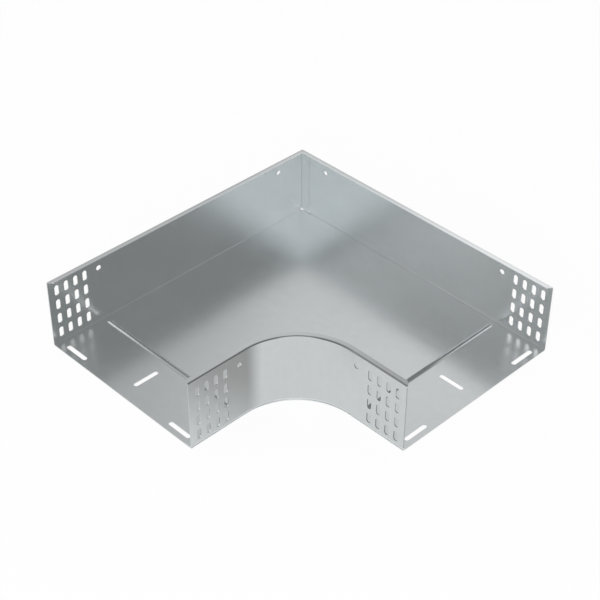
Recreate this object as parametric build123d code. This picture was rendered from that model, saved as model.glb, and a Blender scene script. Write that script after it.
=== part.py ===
from build123d import *
import os
from math import cos, pi, sin, sqrt

# Cable tray bend, 90 degrees, folded from galvanised sheet steel. Sizes are in millimetres.
# It is drawn from the square outer corner: one arm runs along +X with its outer wall at y = 0,
# the other along -Y with its outer wall at x = 0. The finished pieces are then moved so that
# the origin is at the middle of the underside of the whole bend.

# Main sizes
SHEET = 1.5               # thickness of the sheet
CLEAR_WIDTH = 300.0       # between the inner faces of facing walls
SIDE_HEIGHT = 115.0       # underside of the floor to the top of the flanges
INNER_RADIUS = 100.0      # inner wall, on the hollow side of its curve
STRAIGHT_END = 100.0      # straight run of the inner wall at each opening
BEND_INSIDE = 1.0         # inside radius of every fold
FLANGE_WIDTH = 9.0        # top flange, over the sheet of the wall
LIP_WIDTH = 13.0          # foot lip of the inner wall, over the sheet of the wall
FOLD_FLATS = 4            # flats round each fold of the inner wall, which its curve repeats

# Outer corner
MITRE_GAP = 0.5           # between the ends of the two top flanges
RELIEF_DIAMETER = 11.0    # round relief where the two floor folds meet, about the outermost corner
TAB_LENGTH = 18.0         # lap tab, from the outer face of the wall that carries it
TAB_BOTTOM = 3.0          # lowest edge of the tab, over the underside
TAB_TOP_CLEARANCE = 3.0   # highest edge of the tab, under the flange
TAB_CORNER = 2.0          # rounding of the free corners of the tab
LAP_GAP = 0.1             # between the tab and the wall it lies on

# Slot grid at each end of each wall
GRID_COLUMNS = 4
GRID_ROWS = 4
COLUMN_PITCH = 16.6
ROW_PITCH = 25.0
FIRST_COLUMN = 14.7       # from the opening to the middle of the first column
FIRST_ROW = 18.0          # from the underside to the middle of the lowest row
WALL_SLOT_WIDTH = 7.5
WALL_SLOT_LENGTH = 17.6
SLOT_END_FLATS = 6        # flats along each rounded end of the slots inside a grid

# Round holes in the walls
ROUND_HEIGHT = 94.0       # over the underside
END_HOLE_DIAMETER = 8.5
END_HOLE_DISTANCE = 89.8  # from the opening
CORNER_HOLE_DIAMETER = 7.5
CORNER_HOLE_DISTANCE = 53.5  # from the outer corner

# Floor slots at each opening
FLOOR_SLOT_WIDTH = 7.5
FLOOR_SLOT_LENGTH = 42.6
EDGE_SLOT_INSET = 12.3    # slots along the opening: their middle, from the opening
EDGE_SLOT_SIDE = 38.3     # slots along the opening: their middle, from the nearer wall's outer face
RUN_SLOT_INSET = 47.1     # slot along the run: its middle, from the opening

# Bead pressed up across the floor near each opening
BEAD_DISTANCE = 91.0      # from the opening
BEAD_WIDTH = 8.2          # over the feet of its slopes
BEAD_CREST = 0.6          # width of the flat along its crest
BEAD_RISE = 1.8
BEAD_TOE = 2.0            # radius where the bead runs into the floor
BEAD_MARGIN = 11.0        # from the outer wall's outer face to the end of the bead
BEAD_LIP_CLEARANCE = 4.0  # from the other end of the bead to the inner wall's foot lip

# Worked out from the sizes above
BEND_OUTSIDE = BEND_INSIDE + SHEET
BODY_WIDTH = CLEAR_WIDTH + 2 * SHEET
CURVE_START = BODY_WIDTH + INNER_RADIUS
ARM_LENGTH = CURVE_START + STRAIGHT_END
FLANGE_UNDERSIDE = SIDE_HEIGHT - SHEET
FOLD_TOP = SIDE_HEIGHT - BEND_OUTSIDE
CLEARANCE_CUT = 2 * SHEET   # how far cutting shapes pass the faces that they cut

# Turns the arm along +X into the arm along -Y
DIAGONAL = Plane(origin=(0, 0, 0), x_dir=(0, 0, 1), z_dir=(1, 1, 0))


def other_arm(shape):
    return mirror(shape, about=DIAGONAL)


def both_arms(shapes):
    return shapes + [other_arm(shape) for shape in shapes]


def prism(points, bottom, top):
    """Upright solid on a plan outline."""
    outline = make_face(Polyline(*points, close=True))
    return extrude(outline.moved(Location((0, 0, bottom))), amount=top - bottom, dir=(0, 0, 1))


def flat_fold(before, corner, after, radius):
    """Points on the arc of a square fold, which join up as short flats."""
    back = (Vector(before) - Vector(corner)).normalized()
    ahead = (Vector(after) - Vector(corner)).normalized()
    centre = Vector(corner) + (back + ahead) * radius
    turns = [pi / 2 * step / FOLD_FLATS for step in range(FOLD_FLATS + 1)]
    return [centre - (ahead * cos(turn) + back * sin(turn)) * radius for turn in turns]


def folded_line(corners, radius, round_folds):
    """One face of a folded sheet: a line through four corners with its two middle ones rounded."""
    if round_folds:
        return FilletPolyline(*corners, radius=radius)
    folds = flat_fold(*corners[:3], radius) + flat_fold(*corners[1:], radius)
    return Polyline(corners[0], *folds, corners[3])


def folded_section(bottom, foot, round_folds=True):
    """Section of a folded side in the YZ plane: foot, wall and top flange. Its wall stands on
    y = 0 and the folds turn towards -Y."""
    outer_corners = [(-foot, bottom), (0, bottom), (0, SIDE_HEIGHT), (-FLANGE_WIDTH, SIDE_HEIGHT)]
    inner_corners = [
        (-foot, bottom + SHEET),
        (-SHEET, bottom + SHEET),
        (-SHEET, FLANGE_UNDERSIDE),
        (-FLANGE_WIDTH, FLANGE_UNDERSIDE),
    ]
    outer = folded_line(outer_corners, BEND_OUTSIDE, round_folds)
    inner = folded_line(inner_corners, BEND_INSIDE, round_folds)
    ends = [Line(outer @ 0, inner @ 0), Line(outer @ 1, inner @ 1)]
    return Plane.YZ * make_face([outer, inner] + ends)


def flange_end_cut():
    """Cuts the end of a top flange at 45 degrees, outside its fold, at the opening of the +X arm."""
    depth = FLANGE_WIDTH - BEND_OUTSIDE + CLEARANCE_CUT
    points = [
        (ARM_LENGTH, -BEND_OUTSIDE),
        (ARM_LENGTH + CLEARANCE_CUT, -BEND_OUTSIDE),
        (ARM_LENGTH + CLEARANCE_CUT, -BEND_OUTSIDE - depth),
        (ARM_LENGTH - depth, -BEND_OUTSIDE - depth),
    ]
    return prism(points, FOLD_TOP, SIDE_HEIGHT + CLEARANCE_CUT)


def mitre_cut(bottom, top, gap):
    """Everything of the +X arm's side that lies past the diagonal of the outer corner."""
    start = gap / sqrt(2)
    reach = FLANGE_WIDTH + CLEARANCE_CUT
    points = [(start, 0), (start + reach, -reach), (-reach, -reach), (-reach, 0)]
    return prism(points, bottom, top)


def outer_side():
    """Outer wall of the +X arm with its two folds, mitred at the outer corner."""
    side = extrude(folded_section(0, FLANGE_WIDTH), amount=ARM_LENGTH, dir=(1, 0, 0))
    side -= flange_end_cut()
    side -= mitre_cut(-CLEARANCE_CUT, BEND_OUTSIDE, 0)
    side -= mitre_cut(FOLD_TOP, SIDE_HEIGHT + CLEARANCE_CUT, MITRE_GAP)
    return side


def lap_tab():
    """Upright fold at the outer corner and the tab that laps the inner face of the +X wall."""
    back = -(SHEET + LAP_GAP)
    turn = (BEND_OUTSIDE, back - BEND_OUTSIDE)
    outside = Cylinder(BEND_OUTSIDE, FOLD_TOP - BEND_OUTSIDE, align=(Align.CENTER, Align.CENTER, Align.MIN))
    inside = Cylinder(BEND_INSIDE, FOLD_TOP - BEND_OUTSIDE, align=(Align.CENTER, Align.CENTER, Align.MIN))
    fold = Location((*turn, BEND_OUTSIDE)) * (outside - inside)
    quarter = [(0, back), (turn[0], back), turn, (0, turn[1])]
    fold &= prism(quarter, BEND_OUTSIDE, FOLD_TOP)

    tab_top = FLANGE_UNDERSIDE - TAB_TOP_CLEARANCE
    corners = [(turn[0], TAB_BOTTOM), (TAB_LENGTH, TAB_BOTTOM), (TAB_LENGTH, tab_top), (turn[0], tab_top)]
    outline = make_face(Polyline(*corners, close=True))
    free_corners = outline.vertices().sort_by(Axis.X)[-2:]
    outline = fillet(free_corners, TAB_CORNER)
    tab = extrude(Plane.XZ * outline, amount=SHEET, dir=(0, -1, 0))
    return fold + Location((0, back, 0)) * tab


def left_corner_notch():
    """Room for the upright fold: the end of the -Y arm's wall, under its top fold."""
    reach = SHEET + LAP_GAP + BEND_OUTSIDE
    points = [(-CLEARANCE_CUT, -reach), (FLANGE_WIDTH, -reach), (FLANGE_WIDTH, 0), (-CLEARANCE_CUT, 0)]
    return prism(points, -CLEARANCE_CUT, FOLD_TOP)


def bead_ridge(place):
    """Bead of the +X arm over the floor: two slopes, a narrow crest and round ends."""
    start = -BEAD_MARGIN
    end = LIP_WIDTH + BEAD_LIP_CLEARANCE - BODY_WIDTH
    length = start - end
    foot = SlotOverall(length, BEAD_WIDTH, rotation=90)
    crest = SlotOverall(length - BEAD_WIDTH + BEAD_CREST, BEAD_CREST, rotation=90)
    slopes = loft([foot, Location((0, 0, BEAD_RISE)) * crest], ruled=True)
    return Location((place, (start + end) / 2, SHEET)) * slopes


def floor_plate():
    """Level floor between the folds, with the beads, out to the hollow side of the inner wall."""
    curve_end = (BODY_WIDTH, -CURVE_START)
    curve = CenterArc((CURVE_START, -CURVE_START), INNER_RADIUS, 90, 90)
    sides = Polyline(
        curve_end,
        (BODY_WIDTH, -ARM_LENGTH),
        (BEND_OUTSIDE, -ARM_LENGTH),
        (BEND_OUTSIDE, -BEND_OUTSIDE),
        (ARM_LENGTH, -BEND_OUTSIDE),
        (ARM_LENGTH, -BODY_WIDTH),
        (CURVE_START, -BODY_WIDTH),
    )
    plate = extrude(make_face([curve, sides]), amount=SHEET, dir=(0, 0, 1))

    place = ARM_LENGTH - BEAD_DISTANCE
    ridge = bead_ridge(place)
    for bead in both_arms([ridge]):
        plate += bead
    plate = fillet(toe_edges(plate, place), BEAD_TOE)
    for groove in both_arms([Location((0, 0, -SHEET)) * ridge]):
        plate -= groove
    return plate


def toe_edges(plate, place):
    """Edges where the two beads meet the top of the floor."""
    reach = BEAD_WIDTH
    same_level = SHEET / 10

    def is_toe(edge):
        middle = edge.center()
        on_top = abs(edge.bounding_box().min.Z - SHEET) < same_level
        near_x_arm = abs(middle.X - place) < reach and -BODY_WIDTH < middle.Y < 0
        near_y_arm = abs(middle.Y + place) < reach and 0 < middle.X < BODY_WIDTH
        return on_top and (near_x_arm or near_y_arm)

    return plate.edges().filter_by(is_toe)


def through_floor(outline, x, y):
    tool = extrude(outline, amount=SHEET + 2 * CLEARANCE_CUT, dir=(0, 0, 1))
    return Location((x, y, -CLEARANCE_CUT)) * tool


def through_wall(outline, x, wall_y, z):
    """Tool through a wall of the +X arm whose outermost face is at wall_y."""
    tool = extrude(Plane.XZ * outline, amount=SHEET + 2 * CLEARANCE_CUT, dir=(0, -1, 0))
    return Location((x, wall_y + CLEARANCE_CUT, z)) * tool


def flat_ended_slot(length, width):
    """Upright slot whose round ends are drawn as a few short flats, because it repeats so often."""
    radius = width / 2
    half_straight = length / 2 - radius
    points = []
    for side in (1, -1):
        for step in range(SLOT_END_FLATS + 1):
            turn = pi * step / SLOT_END_FLATS
            points.append((side * radius * cos(turn), side * (half_straight + radius * sin(turn))))
    return make_face(Polyline(*points, close=True))


def floor_slots():
    """Three slots at the opening of the +X arm: two along the opening and one along the run."""
    along_opening = SlotOverall(FLOOR_SLOT_LENGTH, FLOOR_SLOT_WIDTH, rotation=90)
    along_run = SlotOverall(FLOOR_SLOT_LENGTH, FLOOR_SLOT_WIDTH)
    return [
        through_floor(along_opening, ARM_LENGTH - EDGE_SLOT_INSET, -EDGE_SLOT_SIDE),
        through_floor(along_run, ARM_LENGTH - RUN_SLOT_INSET, -BODY_WIDTH / 2),
        through_floor(along_opening, ARM_LENGTH - EDGE_SLOT_INSET, EDGE_SLOT_SIDE - BODY_WIDTH),
    ]


def wall_holes(wall_y):
    """Slot grid and round hole at the opening of the +X arm. The top and bottom slots nearest the
    opening, which a coupler is bolted through, have true round ends."""
    round_ended = SlotOverall(WALL_SLOT_LENGTH, WALL_SLOT_WIDTH, rotation=90)
    flat_ended = flat_ended_slot(WALL_SLOT_LENGTH, WALL_SLOT_WIDTH)
    tools = []
    for column in range(GRID_COLUMNS):
        for row in range(GRID_ROWS):
            for_coupler = column == 0 and row in (0, GRID_ROWS - 1)
            outline = round_ended if for_coupler else flat_ended
            x = ARM_LENGTH - FIRST_COLUMN - column * COLUMN_PITCH
            z = FIRST_ROW + row * ROW_PITCH
            tools.append(through_wall(outline, x, wall_y, z))
    end_hole = Circle(END_HOLE_DIAMETER / 2)
    tools.append(through_wall(end_hole, ARM_LENGTH - END_HOLE_DISTANCE, wall_y, ROUND_HEIGHT))
    return tools


def make_tray_body():
    side = outer_side()
    left_side = other_arm(side) - left_corner_notch()
    body = floor_plate() + side + left_side + lap_tab()
    body -= Sphere(RELIEF_DIAMETER / 2)
    corner_hole = through_wall(Circle(CORNER_HOLE_DIAMETER / 2), CORNER_HOLE_DISTANCE, 0, ROUND_HEIGHT)
    holes = floor_slots() + wall_holes(0) + [corner_hole]
    for hole in both_arms(holes):
        body -= hole
    return body


def make_inner_wall():
    """The strip stands on the floor: its wall face on the hollow side is flush with the floor's edge."""
    section = mirror(folded_section(SHEET, LIP_WIDTH, round_folds=False), about=Plane.XZ)
    straight = extrude(section, amount=STRAIGHT_END, dir=(1, 0, 0))
    straight = Location((CURVE_START, -BODY_WIDTH, 0)) * straight
    straight -= mirror(flange_end_cut(), about=Plane.XZ.offset(BODY_WIDTH / 2))
    curve_axis = Axis((CURVE_START, -CURVE_START, 0), (0, 0, 1))
    curved = revolve(Location((CURVE_START, -BODY_WIDTH, 0)) * section, curve_axis, 90)
    wall = straight + curved + other_arm(straight)
    for hole in both_arms(wall_holes(SHEET - BODY_WIDTH)):
        wall -= hole
    return wall


def place_and_write(name, shape):
    solid = Location((-ARM_LENGTH / 2, ARM_LENGTH / 2, 0)) * shape
    solid.label = name
    export_step(solid, f"parts/{name}.step")


os.makedirs("parts", exist_ok=True)
place_and_write("tray_body", make_tray_body())
place_and_write("inner_wall", make_inner_wall())
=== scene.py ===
"""Galvanised cable tray bend on a pale studio floor: its finish, stage, lights and camera."""
from math import cos, pi, radians, sin

import bpy
from bpy.props import FloatProperty, FloatVectorProperty, PointerProperty
from bpy.types import Operator, Panel, PropertyGroup
from mathutils import Matrix, Vector


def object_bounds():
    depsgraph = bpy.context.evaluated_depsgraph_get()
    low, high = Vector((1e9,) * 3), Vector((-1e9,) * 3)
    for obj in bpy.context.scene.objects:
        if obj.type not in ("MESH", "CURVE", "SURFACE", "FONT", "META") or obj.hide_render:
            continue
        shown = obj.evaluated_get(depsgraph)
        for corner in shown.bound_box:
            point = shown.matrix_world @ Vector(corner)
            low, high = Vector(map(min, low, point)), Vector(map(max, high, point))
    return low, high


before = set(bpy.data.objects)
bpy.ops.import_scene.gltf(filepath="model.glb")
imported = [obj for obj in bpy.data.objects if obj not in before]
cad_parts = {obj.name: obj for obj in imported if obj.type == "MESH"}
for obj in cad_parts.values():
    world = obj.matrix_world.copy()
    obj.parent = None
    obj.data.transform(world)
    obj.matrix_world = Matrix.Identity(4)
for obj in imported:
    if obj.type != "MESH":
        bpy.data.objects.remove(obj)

bl_info = {
    "name": "Cable Tray Bend",
    "version": (1, 0, 0),
    "blender": (4, 5, 0),
    "location": "3D View > Sidebar > Tray Bend",
    "description": "Finishes a galvanised cable tray bend and sets it on a studio floor",
    "category": "Object",
}

# Sizes of the bend, in metres. Its middle is at the origin, one opening faces +X and one -Y.
MILLIMETRE = 0.001
CAD_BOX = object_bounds()
OPENING = CAD_BOX[1].x                    # from the middle to each opening and outer wall
TOP = CAD_BOX[1].z                        # upper faces of the top flanges
SHEET = 1.5 * MILLIMETRE
STRAIGHT = 100 * MILLIMETRE               # straight run of the inner wall at each opening
INNER_RADIUS = 100 * MILLIMETRE           # inner wall, on the hollow side of its curve
CURVE_START = OPENING - STRAIGHT          # where a straight of the inner wall runs into its curve
HOLLOW_FACE = CURVE_START - INNER_RADIUS  # the straights' faces on the hollow side
TAB_END = 18 * MILLIMETRE - OPENING       # free end of the lap tab, at the outer corner
BEAD_TOP = SHEET + 1.8 * MILLIMETRE       # crests of the beads across the floor

# Limits of the marks on the zinc, the painted shade and painted highlights among them: where the
# soft edge of a mark begins and where it ends.
# Across the arms, from the middle towards an opening or an outer wall
OUTER_WALLS = (OPENING - 5 * MILLIMETRE, OPENING - 4 * MILLIMETRE)
PAST_INNER_STRIP = (OPENING - 7 * MILLIMETRE, OPENING - 4 * MILLIMETRE)
PAST_RIM = (OPENING - 8.5 * MILLIMETRE, OPENING - 7.5 * MILLIMETRE)
BEHIND_TAB = (OPENING - 5.3 * MILLIMETRE, OPENING - 4.7 * MILLIMETRE)
PAST_TAB = (TAB_END, TAB_END + 1 * MILLIMETRE)
ON_HOLLOW_FACE = (HOLLOW_FACE - 1.2 * MILLIMETRE, HOLLOW_FACE - 0.3 * MILLIMETRE)
PAST_FOOT_GROOVE = (INNER_RADIUS + 2.2 * MILLIMETRE, INNER_RADIUS + 2.8 * MILLIMETRE)
# Along the arms
ON_RIGHT_STRAIGHT = (CURVE_START, CURVE_START + 1 * MILLIMETRE)
PAST_LEFT_STRAIGHT = (-CURVE_START, 30 * MILLIMETRE - CURVE_START)
TOWARDS_OPENING = (-100 * MILLIMETRE, OPENING)
TOWARDS_RIGHT_END = (0.0, 0.95 * OPENING)
ON_RIGHT_ARM = (100 * MILLIMETRE, 110 * MILLIMETRE)
# Where the painted shade on the right arm's bead fades out
PAST_PAINTED_SHADE_END = (90 * MILLIMETRE, 140 * MILLIMETRE)
# Up from the underside
ABOVE_FLOOR = (SHEET + 0.25 * MILLIMETRE, SHEET + 0.4 * MILLIMETRE)
ON_CREST = (BEAD_TOP - 0.5 * MILLIMETRE, BEAD_TOP - 0.4 * MILLIMETRE)
ABOVE_BEAD = (BEAD_TOP + 0.1 * MILLIMETRE, BEAD_TOP + 0.2 * MILLIMETRE)
ABOVE_TAB_GROOVE = (3.2 * MILLIMETRE, 3.6 * MILLIMETRE)
ABOVE_FOOT_GROOVE = (4 * MILLIMETRE, 4.5 * MILLIMETRE)
ABOVE_FOOT_FOLD = (5 * MILLIMETRE, 6 * MILLIMETRE)
NEAR_TOP_FOLD = (TOP - 15 * MILLIMETRE, TOP - 14 * MILLIMETRE)
IN_TOP_FOLD = (TOP - 3.5 * MILLIMETRE, TOP - 3 * MILLIMETRE)
ON_TOP_RIM = (TOP - SHEET - 0.1 * MILLIMETRE, TOP - SHEET + 0.1 * MILLIMETRE)
ON_TOP_FACE = (TOP - 0.4 * MILLIMETRE, TOP - 0.1 * MILLIMETRE)
# Over one part of a face's direction, from 0 to 1
TILTED = (0.15, 0.6)
FACES_ALONG_ARM = (0.3, 0.7)
LEAVES_UPRIGHT = (0.3, 0.7)
FACES_UP = (0.6, 0.8)

# Strength of each mark, the painted shade and painted highlights among them, from 0 to 1
FOLD_CRAZING_AND_PAINTED_SHADE = 0.45                       # crazed zinc and painted shade along the folds of the outer walls
LEFT_FOOT_LESS = 0.3                      # taken off at the foot of the left wall
# Painted shade on the inner wall's cut edges, on the bead crests and on the right arm towards the
# inner wall
CUT_EDGE_PAINTED_SHADE = 0.8
CREST_PAINTED_SHADE = 0.7
RIGHT_CREST_MORE = 0.3                    # added on the right arm's bead
END_PAINTED_SHADE = 0.6
# Painted shade on the inner wall's top flange, a painted dark reflection
FLANGE_PAINTED_SHADE = 0.7
# Painted light over the shade under the lap tab, and painted reflections and highlights on the top
# flanges and rim
UNDER_TAB_BRIGHTNESS = 0.8
RIGHT_FLANGE_BRIGHTNESS = 0.5
LEFT_FLANGE_BRIGHTNESS = 0.3
RIM_BRIGHTNESS = 0.5
PAINTED_SHADE_ALONG = 5.0                    # rise of the painted shade over each metre along the arm
PAINTED_SHADE_UP = 6.1                       # and over each metre of height

# Make-up of the zinc
CRYSTAL_SHARE, CLOUD_SHARE, STREAK_SHARE = 0.15, 0.6, 0.25
TONES = (0.2, 0.8)                        # tones that are all dull zinc and all plain zinc
CRYSTAL_SMOOTHNESS = 0.6
CLOUDS_PER_METRE = 9.0
CLOUD_DETAIL = 3.0
STREAK_DETAIL = 2.0
STREAK_SQUEEZE = 0.04                     # how much the pattern is drawn out along a streak
STREAK_ROUGHNESS, CLOUD_ROUGHNESS = 0.015, 0.05
RELIEF_STRENGTH = 0.03
RELIEF_HEIGHT = 0.05 * MILLIMETRE

SENSOR_WIDTH = 36.0                       # of the camera, in millimetres
FIRST_COLOUR, SECOND_COLOUR = 6, 7        # a Mix node's inputs when it mixes colours
MIXED_COLOUR = 2                          # and its output

# Each softbox: degrees round the bend from the camera's place, degrees up, and side in metres
SOFTBOXES = {
    "front": (0, 33, 2.4),
    "left": (-90, 17, 2.2),
    "back": (157.5, 40, 2.4),
    "low_back": (163, 33, 0.8),
    "far_left": (198, 40, 2.0),
}


class Wire:
    """A socket of a recipe. Arithmetic on it adds the Math nodes."""

    def __init__(self, recipe, socket):
        self.recipe = recipe
        self.socket = socket

    def math(self, operation, *values):
        settings = {"operation": operation}
        return self.recipe.node("ShaderNodeMath", settings, dict(enumerate(values)))

    def __add__(self, other):
        return self.math("ADD", self, other)

    def __radd__(self, other):
        return self.math("ADD", other, self)

    def __sub__(self, other):
        return self.math("SUBTRACT", self, other)

    def __rsub__(self, other):
        return self.math("SUBTRACT", other, self)

    def __mul__(self, other):
        return self.math("MULTIPLY", self, other)

    def __rmul__(self, other):
        return self.math("MULTIPLY", other, self)

    def __neg__(self):
        return self.math("SUBTRACT", 0.0, self)

    def size(self):
        """The value without its sign."""
        return self.math("ABSOLUTE", self)

    def root(self):
        return self.math("SQRT", self)

    def least(self, other):
        return self.math("MINIMUM", self, other)

    def most(self, other):
        return self.math("MAXIMUM", self, other)

    def past(self, limits):
        """0 before the first limit, 1 after the second and a soft step between them."""
        settings = {"interpolation_type": "SMOOTHSTEP"}
        sockets = {"Value": self, "From Min": limits[0], "From Max": limits[1]}
        return self.recipe.node("ShaderNodeMapRange", settings, sockets)

    def short_of(self, limits):
        """1 before the first limit, 0 after the second and a soft step between them."""
        return 1.0 - self.past(limits)


class Recipe:
    """The node tree of one material or of the world."""

    def __init__(self, owner):
        owner.use_nodes = True
        self.tree = owner.node_tree
        self.tree.nodes.clear()

    def node(self, kind, settings, sockets, output=0):
        """Adds one node: its settings first, then the values or links of its sockets."""
        made = self.tree.nodes.new(kind)
        for name, value in settings.items():
            setattr(made, name, value)
        for name, value in sockets.items():
            if isinstance(value, Wire):
                self.tree.links.new(value.socket, made.inputs[name])
            else:
                made.inputs[name].default_value = value
        return Wire(self, made.outputs[output]) if made.outputs else made

    def tint(self, factor, first, second):
        """A colour between two colours, each a wire or a setting."""
        sockets = {"Factor": factor}
        for socket, colour in ((FIRST_COLOUR, first), (SECOND_COLOUR, second)):
            sockets[socket] = colour if isinstance(colour, Wire) else (*colour, 1)
        return self.node("ShaderNodeMix", {"data_type": "RGBA"}, sockets, output=MIXED_COLOUR)

    def parts(self, vector):
        """The three parts of a vector."""
        node = self.node("ShaderNodeSeparateXYZ", {}, {"Vector": vector}).socket.node
        return [Wire(self, node.outputs[axis]) for axis in "XYZ"]

    def facing(self):
        """The three parts of the face's direction, without their signs."""
        normal = self.node("ShaderNodeNewGeometry", {}, {}, output="Normal")
        return [part.size() for part in self.parts(normal)]

    def rays(self, *names):
        """The named outputs of Light Path."""
        outputs = self.node("ShaderNodeLightPath", {}, {}).socket.node.outputs
        return [Wire(self, outputs[name]) for name in names]

    def stretched(self, place, scale):
        settings = {"vector_type": "POINT"}
        return self.node("ShaderNodeMapping", settings, {"Vector": place, "Scale": scale})

    def noise(self, place, scale, detail):
        sockets = {"Vector": place, "Scale": scale, "Detail": detail}
        return self.node("ShaderNodeTexNoise", {"normalize": True}, sockets)


class SheetSettings(PropertyGroup):
    """Finish of the galvanised sheet, with the colours of its painted shade and painted highlights.
    """

    zinc: FloatVectorProperty(
        name="Zinc", description="Colour of the zinc",
        default=(0.705, 0.73, 0.737), size=3, subtype="COLOR", min=0, max=1
    )
    dull_zinc: FloatVectorProperty(
        name="Dull zinc", description="Colour where the zinc has dulled",
        default=(0.66, 0.685, 0.692), size=3, subtype="COLOR", min=0, max=1
    )
    # Colour of the painted shade, a dark reflection painted on the inner wall's left straight and
    # top flange
    painted_shade_zinc: FloatVectorProperty(
        name="Weathered zinc", description="Colour of the inner wall where it has weathered",
        default=(0.36, 0.37, 0.369), size=3, subtype="COLOR", min=0, max=1
    )
    # Colour of crazed zinc with painted shade along the folds, and of the painted shade on cut
    # edges and bead crests
    crazing_and_painted_shade_zinc: FloatVectorProperty(
        name="Fold zinc", description="Colour of the crazed zinc along folds, cut edges and crests",
        default=(0.3, 0.315, 0.319), size=3, subtype="COLOR", min=0, max=1
    )
    # Colour of the painted highlights and reflections, and of the painted light over shaded grooves
    painted_highlight_zinc: FloatVectorProperty(
        name="Bright zinc", description="Colour of the zinc in the grooves and along the flanges",
        default=(0.93, 0.95, 0.955), size=3, subtype="COLOR", min=0, max=1
    )
    roughness: FloatProperty(
        name="Roughness", description="Roughness of the rolled zinc",
        default=0.26, min=0, max=1, subtype="FACTOR"
    )
    spangle: FloatProperty(
        name="Spangle", description="Width of one zinc crystal",
        default=8.0 * MILLIMETRE, min=0.5 * MILLIMETRE, unit="LENGTH"
    )
    streak: FloatProperty(
        name="Streak", description="Width of a rolling streak",
        default=5.0 * MILLIMETRE, min=0.1 * MILLIMETRE, unit="LENGTH"
    )


class StageSettings(PropertyGroup):
    """Floor, lights and camera."""

    floor_colour: FloatVectorProperty(
        name="Floor", description="Colour of the floor",
        default=(0.8, 0.8, 0.8), size=3, subtype="COLOR", min=0, max=1
    )
    floor_size: FloatProperty(
        name="Floor size", description="Side of the floor", default=12.0, min=1, unit="LENGTH"
    )
    floor_glow: FloatProperty(
        name="Floor glow", description="Strength of the floor's plain white, where 1 is white",
        default=1.08, min=0
    )
    white_share: FloatProperty(
        name="White share", description="How much of the floor's look is plain white, over shadows",
        default=0.85, min=0, max=1, subtype="FACTOR"
    )
    mirrored_share: FloatProperty(
        name="Mirrored white", description="How much of the floor is white where metal mirrors it",
        default=0.62, min=0, max=1, subtype="FACTOR"
    )
    world_level: FloatProperty(
        name="World", description="Strength of the even light", default=0.4, min=0
    )
    front_level: FloatProperty(
        name="Front lamp", description="Brightness of the softbox behind the camera",
        default=1.5, min=0
    )
    left_level: FloatProperty(
        name="Left lamp", description="Brightness of the softbox on the camera's left",
        default=0.98, min=0
    )
    back_level: FloatProperty(
        name="Back lamp", description="Brightness of the softbox behind the outer corner",
        default=0.3, min=0
    )
    low_back_level: FloatProperty(
        name="Low back lamp", description="Brightness of the small softbox behind the right arm",
        default=0.48, min=0
    )
    far_left_level: FloatProperty(
        name="Far left lamp", description="Brightness of the softbox behind the left arm",
        default=0.16, min=0
    )
    lamp_distance: FloatProperty(
        name="Lamp distance", description="From each softbox to the bend",
        default=3.2, min=0.1, unit="LENGTH"
    )
    focal_length: FloatProperty(
        name="Focal length", description="Lens of the camera, in millimetres",
        default=90.63, min=10, unit="CAMERA"
    )
    azimuth: FloatProperty(
        name="Azimuth", description="Turn of the camera round the bend",
        default=radians(45.599), subtype="ANGLE"
    )
    elevation: FloatProperty(
        name="Elevation", description="Height angle of the camera",
        default=radians(37.942), subtype="ANGLE"
    )
    roll: FloatProperty(
        name="Roll", description="Roll of the camera", default=radians(0.222), subtype="ANGLE"
    )
    distance: FloatProperty(
        name="Distance", description="From the camera to the point that it looks at",
        default=2.2771, min=0.1, unit="LENGTH"
    )
    target: FloatVectorProperty(
        name="Looks at", description="Point on the floor that the camera looks at",
        default=(-0.0797, 0.0791, 0.0), size=3, subtype="TRANSLATION", unit="LENGTH"
    )


def lean(up):
    """0 on level and on upright faces, most on a face that leans halfway between them."""
    return up.least((1.0 - up * up).root())


def body_crazing_and_painted_shade(recipe, place):
    """How much the body's zinc is darkened, from 0 to 1: crazed zinc and painted shade along the
    folds of the outer walls, less at the foot of the left one, and painted shade on the crests of
    the beads. The bead by the right opening gets painted shade all over towards the inner wall."""
    across, along, up = recipe.facing()
    x, y, z = recipe.parts(place)
    tilt = lean(up) + across.least(along)
    left_foot = y.short_of(OUTER_WALLS) * z.short_of(ABOVE_FOOT_FOLD)
    strength = FOLD_CRAZING_AND_PAINTED_SHADE - left_foot * LEFT_FOOT_LESS
    walls = (tilt * x.size().most(y.size()).past(OUTER_WALLS)).past(TILTED) * strength
    crest = z.past(ON_CREST) * (x.past(ON_RIGHT_ARM) * RIGHT_CREST_MORE + CREST_PAINTED_SHADE)
    return walls.most(on_bead(recipe, z) * crest.most(painted_shade_end(x, y) * END_PAINTED_SHADE))


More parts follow.
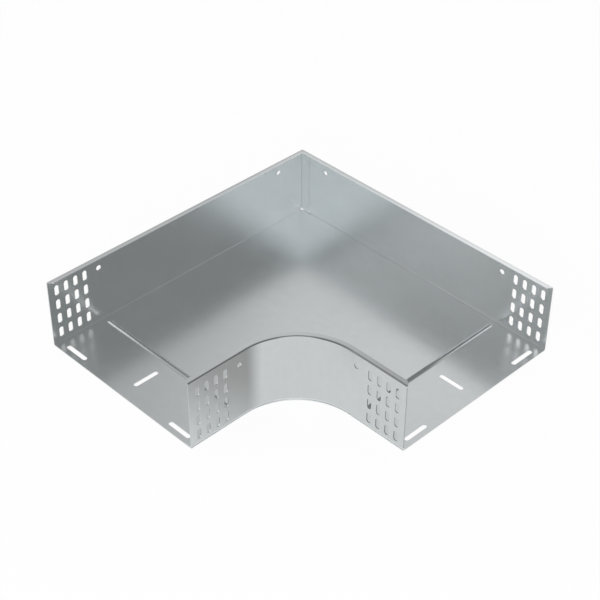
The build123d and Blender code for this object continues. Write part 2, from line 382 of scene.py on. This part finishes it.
def body_painted_highlights(recipe, place):
    """How much painted light the body's zinc gets, from 0 to 1: painted highlights and reflections,
    most over the shade in the groove at the inner wall's foot, less over the shade under the lap
    tab, on the slopes of the beads and on the top flanges, where it rises towards the openings and
    along the inner strip and rim."""
    x, y, z = recipe.parts(place)
    under_tab = x.short_of(PAST_TAB) * y.past(BEHIND_TAB) * z.short_of(ABOVE_TAB_GROOVE)
    right_flange = x.past(TOWARDS_OPENING) * RIGHT_FLANGE_BRIGHTNESS
    left_flange = (-y).past(TOWARDS_OPENING) * LEFT_FLANGE_BRIGHTNESS
    outwards = (-x).most(y)
    inner_strip = outwards.short_of(PAST_INNER_STRIP) * RIM_BRIGHTNESS
    flanges = right_flange.most(left_flange).most(inner_strip) * z.past(ON_TOP_FACE)
    upright = recipe.facing()[2].short_of(LEAVES_UPRIGHT)
    rim = upright * z.past(ON_TOP_RIM) * outwards.short_of(PAST_RIM) * RIM_BRIGHTNESS
    slopes = on_bead(recipe, z) * z.short_of(ON_CREST) * (1.0 - painted_shade_end(x, y))
    # Painted light over the shaded groove at the inner wall's foot and the recess under the lap tab
    marks = foot_groove(x, y, z).most(under_tab * UNDER_TAB_BRIGHTNESS)
    return marks.most(flanges).most(rim).most(slopes)


def on_bead(recipe, z):
    """1 on the beads that stand above the floor."""
    return z.past(ABOVE_FLOOR) * z.short_of(ABOVE_BEAD) * recipe.facing()[2].past(FACES_UP)


def painted_shade_end(x, y):
    """1 on the right arm towards the inner wall."""
    return x.past(ON_RIGHT_ARM) * y.short_of(PAST_PAINTED_SHADE_END)


def foot_groove(x, y, z):
    """1 along the foot of the inner wall on its hollow side."""
    past_x = (CURVE_START - x).most(0.0)
    past_y = (y + CURVE_START).most(0.0)
    from_middle = (past_x * past_x + past_y * past_y).root()
    return from_middle.short_of(PAST_FOOT_GROOVE) * z.short_of(ABOVE_FOOT_GROOVE)


def inner_wall_crazing_and_painted_shade(recipe, place):
    """How much the inner wall's zinc is darkened, from 0 to 1: crazed zinc and painted shade along
    its top fold, and painted shade on the cut edges of its right straight."""
    _, along, up = recipe.facing()
    x, _, z = recipe.parts(place)
    top_fold = lean(up).past(TILTED) * z.past(NEAR_TOP_FOLD)
    on_wall = z.past(ABOVE_FOOT_FOLD) * z.short_of(IN_TOP_FOLD)
    cut_edges = along.short_of(FACES_ALONG_ARM) * x.past(ON_RIGHT_STRAIGHT) * on_wall
    return top_fold.most(cut_edges * CUT_EDGE_PAINTED_SHADE)


def inner_wall_painted_shade(recipe, place):
    """How much painted shade, a painted dark reflection, the inner wall gets, from 0 to 1: on the
    hollow side of its left straight, most at the top by the curve, and on its top flange towards
    the right opening."""
    x, y, z = recipe.parts(place)
    amount = ((y + OPENING) * PAINTED_SHADE_ALONG + z * PAINTED_SHADE_UP).past((0.0, 1.0))
    face = amount * y.short_of(PAST_LEFT_STRAIGHT) * x.past(ON_HOLLOW_FACE)
    return face.most(z.past(ON_TOP_FACE) * x.past(TOWARDS_RIGHT_END) * FLANGE_PAINTED_SHADE)


def rolled_zinc(recipe, settings, place, streaks, clouds):
    """Colour of the flat sheet: dull and plain zinc by crystals, clouds and rolling streaks."""
    crystals = recipe.node(
        "ShaderNodeTexVoronoi", {"feature": "SMOOTH_F1"},
        {"Vector": place, "Scale": 1 / settings.spangle, "Smoothness": CRYSTAL_SMOOTHNESS},
        output="Color"
    )
    crystal_tone = recipe.node("ShaderNodeSeparateColor", {}, {"Color": crystals})
    tone = crystal_tone * CRYSTAL_SHARE + clouds * CLOUD_SHARE + streaks * STREAK_SHARE
    return recipe.tint(tone.past(TONES), settings.dull_zinc, settings.zinc)


def sheet_material(name, settings, streaks_along, is_body):
    """Rolled, hot-dip galvanised sheet, with painted shade and painted highlights in its colour.
    The rolling streaks run along the given axis.
    """
    material = bpy.data.materials.new(name)
    recipe = Recipe(material)
    place = recipe.node("ShaderNodeTexCoord", {}, {}, output="Object")
    clouds = recipe.noise(place, CLOUDS_PER_METRE, CLOUD_DETAIL)
    stretch = [STREAK_SQUEEZE if axis == streaks_along else 1.0 for axis in "XYZ"]
    streaks = recipe.noise(recipe.stretched(place, stretch), 1 / settings.streak, STREAK_DETAIL)
    colour = rolled_zinc(recipe, settings, place, streaks, clouds)
    if is_body:
        crazed_or_shaded, painted_highlight = body_crazing_and_painted_shade(recipe, place), body_painted_highlights(recipe, place)
    else:
        # Painted shade on the inner wall: a dark reflection painted into its colour
        colour = recipe.tint(inner_wall_painted_shade(recipe, place), colour, settings.painted_shade_zinc)
        # Painted light over the shaded groove at the inner wall's foot
        crazed_or_shaded, painted_highlight = inner_wall_crazing_and_painted_shade(recipe, place), foot_groove(*recipe.parts(place))
    # Crazed zinc and painted shade along the folds, painted shade on cut edges and bead crests
    colour = recipe.tint(crazed_or_shaded, colour, settings.crazing_and_painted_shade_zinc)
    # Painted highlights and painted reflections
    colour = recipe.tint(painted_highlight, colour, settings.painted_highlight_zinc)
    unevenness = (streaks - 0.5) * STREAK_ROUGHNESS + (clouds - 0.5) * CLOUD_ROUGHNESS
    relief = recipe.node(
        "ShaderNodeBump", {},
        {"Strength": RELIEF_STRENGTH, "Distance": RELIEF_HEIGHT, "Height": streaks}
    )
    shader = recipe.node("ShaderNodeBsdfPrincipled", {}, {
        "Base Color": colour, "Metallic": 1.0, "Roughness": settings.roughness + unevenness,
        "Normal": relief,
    })
    recipe.node("ShaderNodeOutputMaterial", {}, {"Surface": shader})
    return material


def dress(node_name, material):
    """Puts one material on a whole CAD node."""
    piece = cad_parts[node_name]
    piece.data.materials.clear()
    piece.data.materials.append(material)


class TRAY_OT_body(Operator):
    """Finish the folded floor and outer walls"""

    bl_idname = "tray_bend.body"
    bl_label = "Finish Tray Body"

    def execute(self, context):
        settings = context.scene.tray_sheet
        dress("tray_body", sheet_material("body_zinc", settings, "X", True))
        return {"FINISHED"}


class TRAY_OT_inner_wall(Operator):
    """Finish the rolled inner wall"""

    bl_idname = "tray_bend.inner_wall"
    bl_label = "Finish Inner Wall"

    def execute(self, context):
        settings = context.scene.tray_sheet
        dress("inner_wall", sheet_material("inner_wall_zinc", settings, "Z", False))
        return {"FINISHED"}


def floor_material(settings):
    """Pale floor that shows the shadow and is white to the camera and in the metal."""
    material = bpy.data.materials.new("studio_floor")
    recipe = Recipe(material)
    seen, glossy, through = recipe.rays("Is Camera Ray", "Is Glossy Ray", "Is Transmission Ray")
    whiteness = seen * settings.white_share + (glossy + through) * settings.mirrored_share
    paint = recipe.node("ShaderNodeBsdfDiffuse", {}, {"Color": (*settings.floor_colour, 1)})
    white = {"Color": (1, 1, 1, 1), "Strength": settings.floor_glow}
    glow = recipe.node("ShaderNodeEmission", {}, white)
    both = recipe.node("ShaderNodeMixShader", {}, {0: whiteness, 1: paint, 2: glow})
    recipe.node("ShaderNodeOutputMaterial", {}, {"Surface": both})
    return material


def add_floor(settings):
    half = settings.floor_size / 2
    mesh = bpy.data.meshes.new("studio_floor")
    corners = [(-half, -half, 0), (half, -half, 0), (half, half, 0), (-half, half, 0)]
    mesh.from_pydata(corners, [], [(0, 1, 2, 3)])
    floor = bpy.data.objects.new("studio_floor", mesh)
    bpy.context.scene.collection.objects.link(floor)
    mesh.materials.append(floor_material(settings))


def light_world(settings):
    """Even light on the bend, and white to the camera."""
    world = bpy.data.worlds.new("studio")
    bpy.context.scene.world = world
    recipe = Recipe(world)
    [seen] = recipe.rays("Is Camera Ray")
    strength = settings.world_level + seen * (1.0 - settings.world_level)
    light = recipe.node(
        "ShaderNodeBackground", {}, {"Color": (1, 1, 1, 1), "Strength": strength}
    )
    recipe.node("ShaderNodeOutputWorld", {}, {"Surface": light})


def direction(azimuth, elevation):
    """Unit vector from the bend: azimuth 0 points along -Y and a quarter turn along +X."""
    level = cos(elevation)
    return Vector((sin(azimuth) * level, -cos(azimuth) * level, sin(elevation)))


def add_softbox(name, settings, turn, height, size):
    """Square soft lamp that faces the bend. A level of 1 looks white."""
    data = bpy.data.lights.new(name, "AREA")
    data.shape = "SQUARE"
    data.size = size
    data.energy = getattr(settings, name + "_level") * pi * size ** 2
    lamp = bpy.data.objects.new(name, data)
    bpy.context.scene.collection.objects.link(lamp)
    towards = direction(settings.azimuth + radians(turn), radians(height))
    lamp.location = towards * settings.lamp_distance
    lamp.rotation_euler = towards.to_track_quat("Z", "Y").to_euler()
    lamp.visible_camera = False


def add_camera(settings):
    back = direction(settings.azimuth, settings.elevation)
    right = direction(settings.azimuth + pi / 2, 0)
    up = back.cross(right)
    turned_right = right * cos(settings.roll) + up * sin(settings.roll)
    turned_up = up * cos(settings.roll) - right * sin(settings.roll)
    data = bpy.data.cameras.new("camera")
    data.lens = settings.focal_length
    data.sensor_width = SENSOR_WIDTH
    camera = bpy.data.objects.new("camera", data)
    bpy.context.scene.collection.objects.link(camera)
    facing = Matrix((turned_right, turned_up, back)).transposed().to_4x4()
    place = Vector(settings.target) + back * settings.distance
    camera.matrix_world = Matrix.Translation(place) @ facing
    bpy.context.scene.camera = camera


class TRAY_OT_stage(Operator):
    """Add the floor, the lights and the camera"""

    bl_idname = "tray_bend.stage"
    bl_label = "Set Stage"

    def execute(self, context):
        settings = context.scene.tray_stage
        add_floor(settings)
        light_world(settings)
        for name, (turn, height, size) in SOFTBOXES.items():
            add_softbox(name, settings, turn, height, size)
        add_camera(settings)
        context.scene.view_settings.view_transform = "Standard"
        return {"FINISHED"}


class TRAY_PT_panel(Panel):
    """Settings and steps of the tray bend"""

    bl_idname = "TRAY_PT_panel"
    bl_label = "Tray Bend"
    bl_space_type = "VIEW_3D"
    bl_region_type = "UI"
    bl_category = "Tray Bend"

    def draw(self, context):
        groups = (("Sheet", context.scene.tray_sheet), ("Stage", context.scene.tray_stage))
        for title, settings in groups:
            box = self.layout.box()
            box.label(text=title)
            for name in settings.__annotations__:
                box.prop(settings, name)
        for step in STEPS:
            self.layout.operator(step.bl_idname)


STEPS = (TRAY_OT_body, TRAY_OT_inner_wall, TRAY_OT_stage)
CLASSES = (SheetSettings, StageSettings) + STEPS + (TRAY_PT_panel,)


def register():
    for entry in CLASSES:
        bpy.utils.register_class(entry)
    bpy.types.Scene.tray_sheet = PointerProperty(type=SheetSettings)
    bpy.types.Scene.tray_stage = PointerProperty(type=StageSettings)


def unregister():
    del bpy.types.Scene.tray_stage
    del bpy.types.Scene.tray_sheet
    for entry in reversed(CLASSES):
        bpy.utils.unregister_class(entry)


def main():
    register()
    bpy.ops.tray_bend.body()
    bpy.ops.tray_bend.inner_wall()
    bpy.ops.tray_bend.stage()


if __name__ == "__main__":
    main()
